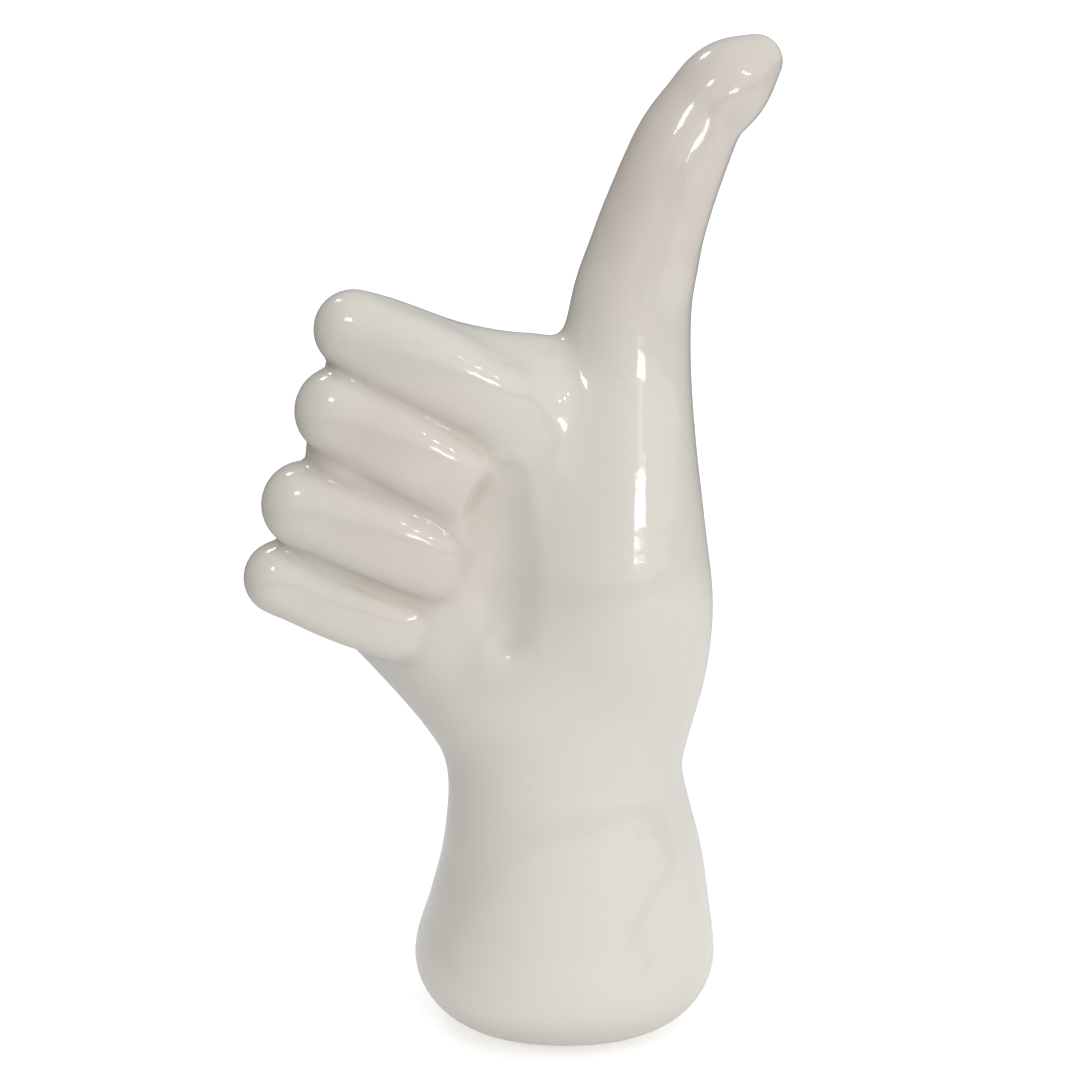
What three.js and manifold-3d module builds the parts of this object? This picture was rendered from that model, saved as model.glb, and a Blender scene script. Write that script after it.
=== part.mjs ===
// A thumbs-up hand sculpture in glazed ceramic, standing on its forearm.
// Millimetres, +Z up, fingers and palm toward -Y, thumb leaning toward +X.
// The origin is on the table, under the middle of the hand's outline.
// The hand is one hollow shell with a drain hole in its foot, on rubber pads.

import * as THREE from 'three';
import Module from 'manifold-3d';

const wasm = await Module();
wasm.setup();

// Driving dimensions.
const HEIGHT = 225.2;            // table to the tip of the thumb
const PAD_THICKNESS = 1.3;       // rubber pad
const PAD_DIAMETER = 9;
const PAD_COUNT = 4;
const PAD_INSET = 1;             // from a pad to the edge of the foot's flat
const SEAT_GAP = 0.3;            // the adhesive between a pad and the glaze
const WALL = 4.5;                // cast wall of the shell
const DRAIN_DIAMETER = 8;        // hole in the foot that empties the mould's slip

const FOOT_X = 12.3;             // the foot stands to the right of the middle
const FOOT_WIDTH = 69.2;
const FOOT_DEPTH = 71;
const FOOT_ROUND = 15;           // radius of the foot's lower edge
const FOOT_UP = 16;              // height where the foot is widest
const WRIST_WIDTH = 52.6;
const WRIST_DEPTH = 50;
const WRIST_UP = 62;             // height of the narrowest place
const FOREARM_SQUARENESS = 2.2;  // 2 is an ellipse, more is squarer
const HEEL_RISE = 58;            // from the wrist to where the heel ends in the palm

const THUMB_X = 25.1;            // the thumb's root, to the right of the middle
const THUMB_ROOT_UP = 76.5;      // where the ball of the thumb starts
const THUMB_BALL_RADIUS = 20;
const THUMB_TIP_RADIUS = 5.8;
const THUMB_LEAN = 25.1;         // how far the tip leans beyond the root

const FIST_REACH = 75.3;         // thumb's root to the outermost knuckle
const FIST_RISE = 102;           // wrist to the uppermost knuckle
const FIST_FRONT = 16.8;         // how far the bent fingers stand before the forearm's middle
const FINGER_RADIUS = 9.6;       // the stoutest finger
const FINGER_SQUARENESS = 3;     // 2 is a round finger, more has flatter sides

// Widths over which neighbouring forms run into each other.
const FINGER_BEND = 5;           // within one bent finger, at its knuckle
const FINGER_BLEND = 5;          // a finger and the next one
const WEB_BLEND = 8;             // the index finger and the web behind it
const CREASE_BLEND = 2.5;        // the creases between the fingers
const CORE_BLEND = 12;           // within the closed fist behind the fingers
const FIST_BLEND = 3.5;          // the fingers and the palm that they lie on
const RAY_BLEND = 14;            // the bones in the back of the hand
const WRIST_BLEND = 11;          // the hand and the forearm
const HEEL_BLEND = 40;           // the end of the heel inside the palm
const PALM_BLEND = 10;
const THUMB_BLEND = 14;
const HOLLOW_BLEND = 3;          // the rim of the hollow in the palm

// Mesh fineness: grid cells across each stretch of the skin.
const CELLS_WIDE = 34;
const CELLS_DEEP = 20;
const CELLS_FOOT = 5;
const CELLS_FOREARM = 8;
const CELLS_HAND = 32;
const CELLS_THUMB = 15;
const GRID_MARGIN = 6;
const CAVITY_COARSENESS = 0.62;  // share of those cells that the inner skin uses
const HOLE_SIDES = 32;
const PAD_SIDES = 32;

// Heights that follow from those.
const GLAZE_BOTTOM = PAD_THICKNESS + SEAT_GAP;
const THUMB_TIP_UP = HEIGHT - THUMB_TIP_RADIUS;
const KNUCKLE_UP = WRIST_UP + FIST_RISE;

// The forearm from the foot to the wrist: share of the way up, shift of its
// middle as a share of the wrist's width, and how much of the foot's spread is left.
const FOREARM_FLARE = [
  { up: 0, lean: 0, spread: 1 },
  { up: 0.26, lean: 0.019, spread: 0.71 },
  { up: 0.52, lean: 0.03, spread: 0.42 },
  { up: 0.78, lean: 0.015, spread: 0.15 },
  { up: 1, lean: -0.004, spread: 0 },
];

// The heel of the hand above the wrist: share of its rise, shift of its middle
// as above, and its width and depth as shares of the wrist's.
const HEEL = [
  { up: 0.17, lean: 0, wide: 0.985, deep: 0.975 },
  { up: 0.38, lean: -0.062, wide: 1.005, deep: 0.898 },
  { up: 0.69, lean: -0.086, wide: 0.905, deep: 0.78 },
  { up: 1.07, lean: -0.057, wide: 0.81, deep: 0.68 },
];

// Places in the hand are four shares: of the fist's reach away from the thumb,
// of the fist's front, of its rise above the wrist, and of the finger's radius.
const FINGERS = [
  {
    knuckle: [0.774, 0.863, 1.004, 0.782],
    middle: [0.58, 0.952, 0.94, 0.98],
    tip: [0.375, 0.87, 0.86, 0.93],
    back: [0.652, -0.714, 0.76, 0.938],
    core: { sink: 0.93, near: 0.98, far: 1.46 },
  },
  {
    knuckle: [0.818, 0.923, 0.832, 0.896],
    middle: [0.637, 1, 0.764, 1],
    tip: [0.462, 0.9, 0.679, 0.917],
    back: [0.717, -0.833, 0.676, 0.99],
    core: { sink: 0.73, near: 1.04, far: 1.46 },
  },
  {
    knuckle: [0.923, 0.893, 0.627, 0.875],
    middle: [0.73, 0.976, 0.576, 0.979],
    tip: [0.549, 0.9, 0.508, 0.896],
    back: [0.81, -0.774, 0.51, 0.99],
    core: { sink: 0.73, near: 1.04, far: 1.46 },
  },
  {
    knuckle: [1, 0.804, 0.46, 0.737],
    middle: [0.833, 0.833, 0.402, 0.785],
    tip: [0.657, 0.79, 0.353, 0.771],
    back: [0.863, -0.536, 0.392, 0.75],
    core: { sink: 0.21, near: 0.78, far: 1.25 },
  },
];

// The web of flesh behind the index finger, from its knuckle to the thumb.
const WEB = [
  [0.692, 0.476, 0.957, 0.896],
  [0.5, 0.446, 0.898, 0.917],
  [0.285, 0.417, 0.884, 0.938],
];

// The bones of the back of the hand run from these roots to the back knuckles,
// two rays to the fold under the thumb, and two more fill the palm.
const RAY_ROOTS = [
  [0.106, -0.298, 0.275, 1.823],
  [0.186, -0.357, 0.235, 1.823],
  [0.279, -0.298, 0.196, 1.771],
  [0.408, -0.179, 0.18, 1.688],
];
const FOLD_RAYS = [
  [[0.053, -0.179, 0.324, 1.771], [0.425, -0.238, 0.747, 1.281]],
  [[0.027, -0.119, 0.373, 1.667], [0.239, -0.238, 0.777, 1.188]],
];
const PALM_RAYS = [
  [[0.386, 0.238, 0.186, 1.51], [0.612, 0.298, 0.358, 1]],
  [[0.187, 0.28, 0.245, 1.58], [0.227, 0.4, 0.68, 1.2]],
];

// The limb that is pressed into the palm as its hollow, from the top down.
const PALM_HOLLOW = [
  [0.33, 1.42, 0.7, 0.5],
  [0.355, 1.56, 0.607, 0.92],
  [0.362, 1.63, 0.474, 1.02],
  [0.357, 1.62, 0.351, 0.8],
];

// The thumb: share of the way from its root to its tip, share of its lean,
// share of the ball's radius toward the front, and its flesh, from 0 at the
// tip to 1 at the ball.
const THUMB = [
  { up: 0, lean: 0, front: 0.05, flesh: 0.613 },
  { up: 0.066, lean: 0.012, front: 0.2, flesh: 0.844 },
  { up: 0.178, lean: -0.032, front: 0.312, flesh: 1 },
  { up: 0.289, lean: -0.024, front: 0.3, flesh: 0.887 },
  { up: 0.415, lean: 0, front: 0.262, flesh: 0.694 },
  { up: 0.527, lean: 0.008, front: 0.162, flesh: 0.591 },
  { up: 0.632, lean: 0.048, front: 0.125, flesh: 0.513 },
  { up: 0.705, lean: 0.143, front: 0.128, flesh: 0.444 },
  { up: 0.774, lean: 0.255, front: 0.125, flesh: 0.387 },
  { up: 0.868, lean: 0.456, front: 0.115, flesh: 0.333 },
  { up: 0.926, lean: 0.638, front: 0.106, flesh: 0.255 },
  { up: 0.966, lean: 0.84, front: 0.096, flesh: 0.245 },
  { up: 1, lean: 1.075, front: 0.096, flesh: 0 },
];
const THUMB_HOLLOW_STATIONS = 9; // the cast thumb is solid beyond this station

const mix = (a, b, t) => a + (b - a) * t;

/** The smaller of two distances, with their meeting rounded over width k. */
function blend(a, b, k) {
  const h = Math.max(k - Math.abs(a - b), 0) / k;
  return Math.min(a, b) - (h * h * h * k) / 6;
}

/** The larger of two distances, with their meeting rounded over width k. */
const carve = (a, b, k) => -blend(-a, -b, k);

/** Inside both shapes, with the edge between them rounded to a radius. */
function roundedBoth(a, b, radius) {
  const u = Math.max(a + radius, 0);
  const v = Math.max(b + radius, 0);
  return Math.min(Math.max(a, b), -radius) + Math.hypot(u, v);
}

/**
 * Distance to the cone that wraps two balls, each given as x, y, z, radius.
 * A squareness above 2 flattens its front and back, and its upper and lower sides.
 */
function roundCone(from, to, squareness) {
  const [ax, ay, az, ra] = from;
  const run = new THREE.Vector3(to[0] - ax, to[1] - ay, to[2] - az);
  const length = run.length();
  run.normalize();
  const upward = run.clone().cross(new THREE.Vector3(0, 1, 0)).normalize();
  const forward = upward.clone().cross(run);
  const slope = (ra - to[3]) / length;
  const lead = slope / Math.sqrt(1 - slope * slope);
  return (x, y, z) => {
    const px = x - ax;
    const py = y - ay;
    const pz = z - az;
    const along = px * run.x + py * run.y + pz * run.z;
    const up = Math.abs(px * upward.x + py * upward.y + pz * upward.z);
    const front = Math.abs(px * forward.x + py * forward.y + pz * forward.z);
    const off = (up ** squareness + front ** squareness) ** (1 / squareness);
    const at = Math.min(Math.max(along - off * lead, 0), length);
    return Math.hypot(off, along - at) - ra + slope * at;
  };
}

/** Points on the smooth curve through the given ones, radii included. */
function smoothThrough(points, steps) {
  const extend = (p, q) => p.map((value, axis) => 2 * value - q[axis]);
  const last = points.length - 1;
  const all = [extend(points[0], points[1]), ...points, extend(points[last], points[last - 1])];
  const curve = [];
  for (let i = 1; i <= last; i += 1) {
    for (let s = 0; s < steps; s += 1) {
      const t = s / steps;
      curve.push(all[i].map((b, axis) => {
        const a = all[i - 1][axis];
        const c = all[i + 1][axis];
        const d = all[i + 2][axis];
        const bend = 2 * a - 5 * b + 4 * c - d;
        const twist = 3 * b - a - 3 * c + d;
        return 0.5 * (2 * b + (c - a) * t + bend * t * t + twist * t * t * t);
      }));
    }
  }
  curve.push(points[last]);
  return curve;
}

/** A limb of flesh along the smooth curve through the given points. */
function limb(points, steps, squareness = 2) {
  const curve = smoothThrough(points, steps);
  const cones = curve.slice(1).map((end, i) => roundCone(curve[i], end, squareness));
  return (x, y, z) => {
    let least = Infinity;
    for (const cone of cones) {
      least = Math.min(least, cone(x, y, z));
    }
    return least;
  };
}

/** Several shapes blended one after another over width k. */
function blendAll(shapes, k) {
  return (x, y, z) => {
    let least = shapes[0](x, y, z);
    for (const shape of shapes.slice(1)) {
      least = blend(least, shape(x, y, z), k);
    }
    return least;
  };
}

/** A place in the hand as x, y, z and radius, from its four shares. */
const place = ([out, front, up, flesh]) => [
  THUMB_X - out * FIST_REACH,
  -front * FIST_FRONT,
  WRIST_UP + up * FIST_RISE,
  flesh * FINGER_RADIUS,
];

/** The same place moved by shares of the finger's radius, with its flesh scaled. */
const moved = ([x, y, z, radius], [right, back, up], grow) => [
  x + right * FINGER_RADIUS,
  y + back * FINGER_RADIUS,
  z + up * FINGER_RADIUS,
  radius * grow,
];

const midway = (p, q) => p.map((value, axis) => (value + q[axis]) / 2);

/** Centre and half sizes of the forearm at some heights, from the foot up. */
function forearmSections() {
  const flare = FOREARM_FLARE.map(({ up, lean, spread }) => ({
    z: mix(FOOT_UP, WRIST_UP, up),
    row: [
      FOOT_X + lean * WRIST_WIDTH,
      mix(WRIST_WIDTH, FOOT_WIDTH, spread) / 2,
      mix(WRIST_DEPTH, FOOT_DEPTH, spread) / 2,
    ],
  }));
  const heel = HEEL.map(({ up, lean, wide, deep }) => ({
    z: WRIST_UP + up * HEEL_RISE,
    row: [FOOT_X + lean * WRIST_WIDTH, (wide * WRIST_WIDTH) / 2, (deep * WRIST_DEPTH) / 2],
  }));
  return [{ z: 0, row: flare[0].row }, ...flare, ...heel];
}

/** A smooth curve through rows that stand at given heights. */
function profile(sections) {
  const last = sections.length - 1;
  const slopes = sections.map((_, i) => {
    const low = sections[Math.max(i - 1, 0)];
    const high = sections[Math.min(i + 1, last)];
    return high.row.map((value, axis) => (value - low.row[axis]) / (high.z - low.z));
  });
  return (height) => {
    const z = Math.min(Math.max(height, sections[0].z), sections[last].z);
    let i = 0;
    while (i < last - 1 && z > sections[i + 1].z) {
      i += 1;
    }
    const step = sections[i + 1].z - sections[i].z;
    const t = (z - sections[i].z) / step;
    const ease = t * t * (3 - 2 * t);
    const leave = t * (1 - t) * (1 - t) * step;
    const arrive = t * t * (t - 1) * step;
    return sections[i].row.map((value, axis) => (
      mix(value, sections[i + 1].row[axis], ease)
      + slopes[i][axis] * leave
      + slopes[i + 1][axis] * arrive
    ));
  };
}

/** The forearm and heel, a loft of squarish ellipses without its rounded foot. */
function forearm() {
  const sectionAt = profile(forearmSections());
  const power = FOREARM_SQUARENESS;
  const top = WRIST_UP + HEEL_RISE;
  return (x, y, z) => {
    const [middle, wide, deep] = sectionAt(z);
    const out = Math.hypot(x - middle, y) + 1e-6;
    const across = Math.abs(x - middle) / out / wide;
    const through = Math.abs(y) / out / deep;
    const side = out - (across ** power + through ** power) ** (-1 / power);
    return carve(side, z - top, HEEL_BLEND);
  };
}

/** One bent finger: from its tip over the front to the knuckle, then back. */
function finger({ knuckle, middle, tip, back }) {
  const front = limb([knuckle, middle, tip].map(place), 3, FINGER_SQUARENESS);
  return blendAll([front, limb([knuckle, back].map(place), 1)], FINGER_BEND);
}

/** The flesh that fills the crease between two neighbouring fingers. */
function crease(upper, lower) {
  const between = (part) => midway(place(upper[part]), place(lower[part]));
  const thinner = FINGER_RADIUS * Math.min(upper.knuckle[3], lower.knuckle[3]);
  const start = moved(between('knuckle'), [0.85, 0.42, -0.03], 1);
  const end = moved(between('tip'), [0.52, 0.33, -0.05], 1);
  const back = moved(between('back'), [0.31, 0, 0.1], 0.87);
  start[3] = 1.3 * thinner;
  end[3] = 1.14 * thinner;
  return blendAll([limb([start, end], 1), limb([start, back], 1)], FINGER_BEND);
}

/** The index finger with the web of flesh behind it. */
function indexFinger() {
  return blendAll([finger(FINGERS[0]), limb(WEB.map(place), 2)], WEB_BLEND);
}

/** The other three fingers, and the creases between all four. */
function otherFingers() {
  const bent = blendAll(FINGERS.slice(1).map(finger), FINGER_BLEND);
  const pairs = FINGERS.slice(1).map((lower, i) => crease(FINGERS[i], lower));
  const filled = (x, y, z) => Math.min(...pairs.map((pair) => pair(x, y, z)));
  return blendAll([bent, filled], CREASE_BLEND);
}

/** The closed fist behind the fingers. */
function fist() {
  return blendAll(FINGERS.map(({ knuckle, tip, core }) => {
    const inKnuckle = [knuckle[0], 0.18, knuckle[2], core.near];
    const inPalm = [tip[0], 0.33, tip[2], core.far];
    const near = moved(place(inKnuckle), [1.25, 0, -core.sink], 1);
    const far = moved(place(inPalm), [0.73, 0, 0.31 - core.sink], 1);
    return limb([near, far], 1);
  }), CORE_BLEND);
}

/** The back of the hand and the palm, up to the fold under the thumb. */
function palm() {
  const bones = FINGERS.map(({ back }, i) => {
    const end = moved(place(back), [0.42, -0.36, -0.21], 1.2);
    return limb([place(RAY_ROOTS[i]), end], 1);
  });
  const fills = [...FOLD_RAYS, ...PALM_RAYS].map((ends) => limb(ends.map(place), 1));
  return blendAll([...bones.reverse(), ...fills], RAY_BLEND);
}

/** The thumb, from its ball at the wrist to the given number of stations. */
function thumb(stations) {
  return limb(THUMB.slice(0, stations).map(({ up, lean, front, flesh }) => [
    THUMB_X + lean * THUMB_LEAN,
    -front * THUMB_BALL_RADIUS,
    mix(THUMB_ROOT_UP, THUMB_TIP_UP, up),
    mix(THUMB_TIP_RADIUS, THUMB_BALL_RADIUS, flesh),
  ]), 4);
}

/** The hand's outside, or without its finger ridges the form that its inside follows. */
function handSkin({ ridges, thumbStations }) {
  const wristAndPalm = blendAll([forearm(), palm()], WRIST_BLEND);
  const closed = blendAll([wristAndPalm, fist()], PALM_BLEND);
  const withThumb = blendAll([closed, thumb(thumbStations)], THUMB_BLEND);
  const withIndex = blendAll([withThumb, indexFinger()], WEB_BLEND);
  const body = ridges ? blendAll([withIndex, otherFingers()], FIST_BLEND) : withThumb;
  const dent = limb(PALM_HOLLOW.map(place), 3);
  return (x, y, z) => {
    const dented = carve(body(x, y, z), -dent(x, y, z), HOLLOW_BLEND);
    return roundedBoth(dented, GLAZE_BOTTOM - z, FOOT_ROUND);
  };
}

/** Evenly spaced levels from a to b, without b. */
const levels = (a, b, count) => Array.from({ length: count }, (_, i) => mix(a, b, i / count));

/** Grid levels that hold the whole hand, finer where its form is. */
function gridLevels(share) {
  const cells = (count) => Math.max(Math.round(count * share), 2);
  const knuckles = FINGERS.map(({ knuckle }) => place(knuckle));
  const reach = knuckles.map(([x, , , radius]) => x - radius);
  const tipX = THUMB_X + THUMB_LEAN + THUMB_TIP_RADIUS;
  const left = Math.min(...reach, FOOT_X - FOOT_WIDTH / 2) - GRID_MARGIN;
  const right = Math.max(tipX, FOOT_X + FOOT_WIDTH / 2) + GRID_MARGIN;
  const deep = FOOT_DEPTH / 2 + GRID_MARGIN;
  const footTop = GLAZE_BOTTOM + FOOT_ROUND;
  const handBottom = THUMB_ROOT_UP - GRID_MARGIN / 3;
  const handTop = KNUCKLE_UP + FINGER_RADIUS + GRID_MARGIN / 3;
  return {
    xs: levels(left, right, cells(CELLS_WIDE)),
    ys: levels(-deep, deep, cells(CELLS_DEEP)),
    zs: [
      ...levels(GLAZE_BOTTOM - GRID_MARGIN / 2, footTop, cells(CELLS_FOOT)),
      ...levels(footTop, handBottom, cells(CELLS_FOREARM)),
      ...levels(handBottom, handTop, cells(CELLS_HAND)),
      ...levels(handTop, HEIGHT + GRID_MARGIN, cells(CELLS_THUMB) + 1),
      HEIGHT + GRID_MARGIN,
    ],
  };
}

/** Moves a point onto the surface where the field is zero. */
function settle(field, point, reach) {
  const delta = 0.02;
  let [x, y, z] = point;
  for (let round = 0; round < 4; round += 1) {
    const value = field(x, y, z);
    const gx = (field(x + delta, y, z) - field(x - delta, y, z)) / (2 * delta);
    const gy = (field(x, y + delta, z) - field(x, y - delta, z)) / (2 * delta);
    const gz = (field(x, y, z + delta) - field(x, y, z - delta)) / (2 * delta);
    const slope = Math.max(gx * gx + gy * gy + gz * gz, 0.2);
    const step = THREE.MathUtils.clamp(value / slope, -reach, reach);
    x -= step * gx;
    y -= step * gy;
    z -= step * gz;
  }
  return [x, y, z];
}

/**
 * The closed surface where field(x, y, z) is zero, found on a grid: each patch
 * of surface in a cell gets one vertex, and each crossed grid edge one quad.
 */
function surface(field, { xs, ys, zs }) {
  const size = [xs.length, ys.length, zs.length];
  const index = (i, j, k) => (k * size[1] + j) * size[0] + i;
  const corner = (i, j, k) => [xs[i], ys[j], zs[k]];
  const value = new Float64Array(size[0] * size[1] * size[2]);
  for (let k = 0; k < size[2]; k += 1) {
    for (let j = 0; j < size[1]; j += 1) {
      for (let i = 0; i < size[0]; i += 1) {
        value[index(i, j, k)] = field(...corner(i, j, k));
      }
    }
  }
  const axes = [[1, 0, 0], [0, 1, 0], [0, 0, 1]];
  const plus = (p, axis, count = 1) => p.map((n, a) => n + axes[axis][a] * count);
  const inside = (p) => value[index(...p)] < 0;
  const edgeKey = (p, axis) => index(...p) * 3 + axis;

  // The edges of a face in turn, with its corners between them.
  const faceEdges = (p, u, v) => [
    { corners: [p, plus(p, u)], key: edgeKey(p, u) },
    { corners: [plus(p, u), plus(plus(p, u), v)], key: edgeKey(plus(p, u), v) },
    { corners: [plus(plus(p, u), v), plus(p, v)], key: edgeKey(plus(p, v), u) },
    { corners: [plus(p, v), p], key: edgeKey(p, v) },
  ];

  const positions = [];
  const patchOf = new Map(); // cell and edge to the vertex of the patch
  const cellSize = Math.min(xs[1] - xs[0], ys[1] - ys[0], zs[1] - zs[0]);

  for (let k = 0; k < size[2] - 1; k += 1) {
    for (let j = 0; j < size[1] - 1; j += 1) {
      for (let i = 0; i < size[0] - 1; i += 1) {
        const cell = [i, j, k];
        const group = new Map();
        const find = (key) => (group.get(key) === key ? key : find(group.get(key)));
        const crossing = new Map();
        for (let w = 0; w < 3; w += 1) {
          const [u, v] = [(w + 1) % 3, (w + 2) % 3];
          for (const side of [0, 1]) {
            const edges = faceEdges(plus(cell, w, side), u, v);
            const cut = edges.filter(({ corners }) => inside(corners[0]) !== inside(corners[1]));
            for (const edge of cut) {
              if (!group.has(edge.key)) {
                group.set(edge.key, edge.key);
                crossing.set(edge.key, edge.corners);
              }
            }
            if (cut.length === 2) {
              group.set(find(cut[0].key), find(cut[1].key));
            }
            if (cut.length === 4) {
              const first = inside(edges[0].corners[0]) ? 3 : 0;
              group.set(find(edges[first].key), find(edges[(first + 1) % 4].key));
              group.set(find(edges[(first + 2) % 4].key), find(edges[(first + 3) % 4].key));
            }
          }
        }
        const patches = new Map();
        for (const [key, [p, q]] of crossing) {
          const a = value[index(...p)];
          const t = a / (a - value[index(...q)]);
          const at = corner(...p).map((n, axis) => mix(n, corner(...q)[axis], t));
          const root = find(key);
          if (!patches.has(root)) {
            patches.set(root, { keys: [], points: [] });
          }
          patches.get(root).keys.push(key);
          patches.get(root).points.push(at);
        }
        for (const { keys, points } of patches.values()) {
          const average = [0, 1, 2].map((axis) => (
            points.reduce((sum, point) => sum + point[axis], 0) / points.length
          ));
          const vertex = positions.length;
          positions.push(settle(field, average, cellSize / 2));
          for (const key of keys) {
            patchOf.set(`${index(i, j, k)} ${key}`, vertex);
          }
        }
      }
    }
  }

  const triangles = [];
  const distance = (a, b) => Math.hypot(...a.map((n, axis) => n - b[axis]));
  for (let k = 0; k < size[2] - 1; k += 1) {
    for (let j = 0; j < size[1] - 1; j += 1) {
      for (let i = 0; i < size[0] - 1; i += 1) {
        for (let w = 0; w < 3; w += 1) {
          const from = [i, j, k];
          if (inside(from) === inside(plus(from, w))) {
            continue;
          }
          const [u, v] = [(w + 1) % 3, (w + 2) % 3];
          const key = edgeKey(from, w);
          const cells = [
            plus(plus(from, u, -1), v, -1),
            plus(from, v, -1),
            from,
            plus(from, u, -1),
          ];
          const quad = cells.map((cell) => patchOf.get(`${index(...cell)} ${key}`));
          if (!inside(from)) {
            quad.reverse();
          }
          const [a, b, c, d] = quad;
          const [pa, pb, pc, pd] = quad.map((vertex) => positions[vertex]);
          if (distance(pa, pc) <= distance(pb, pd)) {
            triangles.push(a, b, c, a, c, d);
          } else {
            triangles.push(b, c, d, b, d, a);
          }
        }
      }
    }
  }
  return new wasm.Manifold(new wasm.Mesh({
    numProp: 3,
    vertProperties: new Float32Array(positions.flat()),
    triVerts: new Uint32Array(triangles),
  }));
}

/** A three.js geometry as a solid that can be joined or cut. */
function toSolid(geometry) {
  const welded = new Map();
  const points = [];
  const position = geometry.getAttribute('position');
  const renumber = Array.from({ length: position.count }, (_, i) => {
    const point = [position.getX(i), position.getY(i), position.getZ(i)];
    const key = point.map((n) => n.toFixed(4)).join(' ');
    if (!welded.has(key)) {
      welded.set(key, points.length);
      points.push(point);
    }
    return welded.get(key);
  });
  return new wasm.Manifold(new wasm.Mesh({
    numProp: 3,
    vertProperties: new Float32Array(points.flat()),
    triVerts: new Uint32Array(Array.from(geometry.index.array, (i) => renumber[i])),
  }));
}

/** A solid as a three.js geometry. */
function toGeometry(solid) {
  const mesh = solid.getMesh();
  const geometry = new THREE.BufferGeometry();
  geometry.setAttribute('position', new THREE.BufferAttribute(mesh.vertProperties, 3));
  geometry.setIndex(new THREE.BufferAttribute(mesh.triVerts, 1));
  geometry.computeVertexNormals();
  return geometry;
}

/** An upright cylinder from one height to another. */
function uprightCylinder(diameter, bottom, top, sides) {
  const geometry = new THREE.CylinderGeometry(diameter / 2, diameter / 2, top - bottom, sides);
  geometry.rotateX(Math.PI / 2);
  geometry.translate(0, 0, (bottom + top) / 2);
  return geometry;
}

/** The hollow ceramic hand, its drain hole through the floor of the foot. */
function handShell() {
  const outside = surface(
    handSkin({ ridges: true, thumbStations: THUMB.length }),
    gridLevels(1),
  );
  const form = handSkin({ ridges: false, thumbStations: THUMB_HOLLOW_STATIONS });
  const inside = surface((x, y, z) => form(x, y, z) + WALL, gridLevels(CAVITY_COARSENESS));
  const drain = uprightCylinder(
    DRAIN_DIAMETER,
    GLAZE_BOTTOM - WALL,
    GLAZE_BOTTOM + 2 * WALL,
    HOLE_SIDES,
  );
  drain.translate(FOOT_X, 0, 0);
  return toGeometry(outside.subtract(inside).subtract(toSolid(drain)));
}

/** One rubber pad, as far out as the flat of the foot lets it, so that the hand stands. */
function footPad(number) {
  const angle = (2 * Math.PI * number) / PAD_COUNT;
  const farOut = (size) => size / 2 - FOOT_ROUND - PAD_INSET - PAD_DIAMETER / 2;
  const geometry = uprightCylinder(PAD_DIAMETER, 0, PAD_THICKNESS, PAD_SIDES);
  geometry.translate(
    FOOT_X + farOut(FOOT_WIDTH) * Math.cos(angle),
    farOut(FOOT_DEPTH) * Math.sin(angle),
    0,
  );
  return geometry;
}

const group = new THREE.Group();
group.name = 'thumbs_up_hand';

/** Adds one named piece with its own material. */
function addPiece(name, geometry, look) {
  const mesh = new THREE.Mesh(geometry, new THREE.MeshStandardMaterial(look));
  mesh.name = name;
  group.add(mesh);
}

addPiece('hand_shell', handShell(), { color: 0xd8d4cb, roughness: 0.18, metalness: 0 });
for (let number = 0; number < PAD_COUNT; number += 1) {
  addPiece(`foot_pad_${number + 1}`, footPad(number), {
    color: 0x6d6b68,
    roughness: 0.85,
    metalness: 0,
  });
}

export default group;
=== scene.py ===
"""A thumbs-up hand in glazed ceramic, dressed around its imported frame.

Blender objects are in metres: +Z is up, -Y is the side of the palm and of the
camera, and +X is the side of the thumb. The hand's own form is worked out in
millimetres, as distances to its skin that are below zero inside the clay, and
then meshed finely.
"""

import math

import bpy
import numpy as np
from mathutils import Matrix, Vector


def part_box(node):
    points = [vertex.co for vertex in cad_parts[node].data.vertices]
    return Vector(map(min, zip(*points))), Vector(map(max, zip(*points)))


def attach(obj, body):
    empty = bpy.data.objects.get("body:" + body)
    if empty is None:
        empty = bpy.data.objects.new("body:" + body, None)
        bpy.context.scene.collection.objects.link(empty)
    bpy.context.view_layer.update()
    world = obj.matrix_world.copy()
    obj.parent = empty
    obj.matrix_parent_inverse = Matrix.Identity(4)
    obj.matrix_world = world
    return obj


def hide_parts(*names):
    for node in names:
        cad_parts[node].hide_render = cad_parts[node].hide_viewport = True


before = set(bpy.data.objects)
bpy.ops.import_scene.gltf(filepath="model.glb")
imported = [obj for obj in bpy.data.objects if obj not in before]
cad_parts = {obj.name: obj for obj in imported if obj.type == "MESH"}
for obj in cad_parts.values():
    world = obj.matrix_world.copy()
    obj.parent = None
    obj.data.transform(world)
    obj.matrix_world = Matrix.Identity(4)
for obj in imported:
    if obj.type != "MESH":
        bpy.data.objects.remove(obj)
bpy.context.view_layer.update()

MM = 0.001

# What the frame gives. From here on the form's sizes are in millimetres.
SHELL_LOW, SHELL_HIGH = (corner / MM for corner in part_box("hand_shell"))
GLAZE_BOTTOM = SHELL_LOW.z       # the underside of the foot, just above the pads
HEIGHT = SHELL_HIGH.z
PAD_NODES = sorted(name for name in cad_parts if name.startswith("foot_pad"))

# The cast wall and its drain hole.
WALL = 4.5
DRAIN_DIAMETER = 8
RIM_ROUND = 1.6                  # the glaze rounds the drain hole's edge

# The forearm on its flared foot, and the heel of the hand above the wrist.
FOOT_X = 12.3                    # the middle of the foot
FOOT_WIDTH = 69.2
FOOT_DEPTH = 71
FOOT_ROUND = 15                  # the rounding of the foot's lower edge
FOOT_UP = 16                     # where the foot is widest
WRIST_WIDTH = 52.6
WRIST_DEPTH = 50
WRIST_UP = 62
FOREARM_SQUARENESS = 2.2         # 2 is an ellipse, more has fuller corners
HEEL_RISE = 58                   # from the wrist to where the heel ends in the palm

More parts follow.
